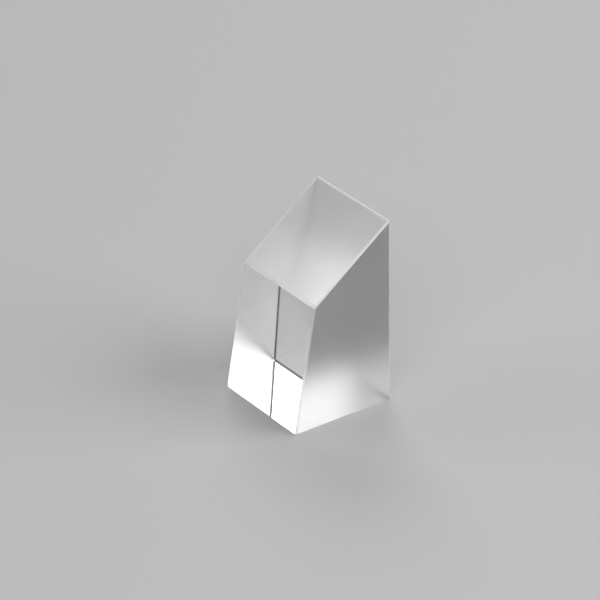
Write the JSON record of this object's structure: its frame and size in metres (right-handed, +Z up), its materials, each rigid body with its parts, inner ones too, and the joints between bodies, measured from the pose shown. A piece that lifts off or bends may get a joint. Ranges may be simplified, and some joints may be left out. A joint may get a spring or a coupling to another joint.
{
  "type": "four-sided dispersing prism",
  "caption": "Clear glass four-sided dispersing prism with polished front, base and back faces, ground ends and top, and bevelled edges.",
  "frame": {"origin": "middle of the base face, which the prism stands on", "axes": "+Z up, along the tall upright back face; +X from the narrow front face to the back face; +Y across the prism, from the near ground end to the far one"},
  "size_m": [0.0195, 0.02, 0.0338],
  "materials": {
    "glass": "polished front, base and back faces, fine ground ends and top face"
  },
  "bodies": {
    "root": {"prism": "glass"}
  },
  "joints": []
}
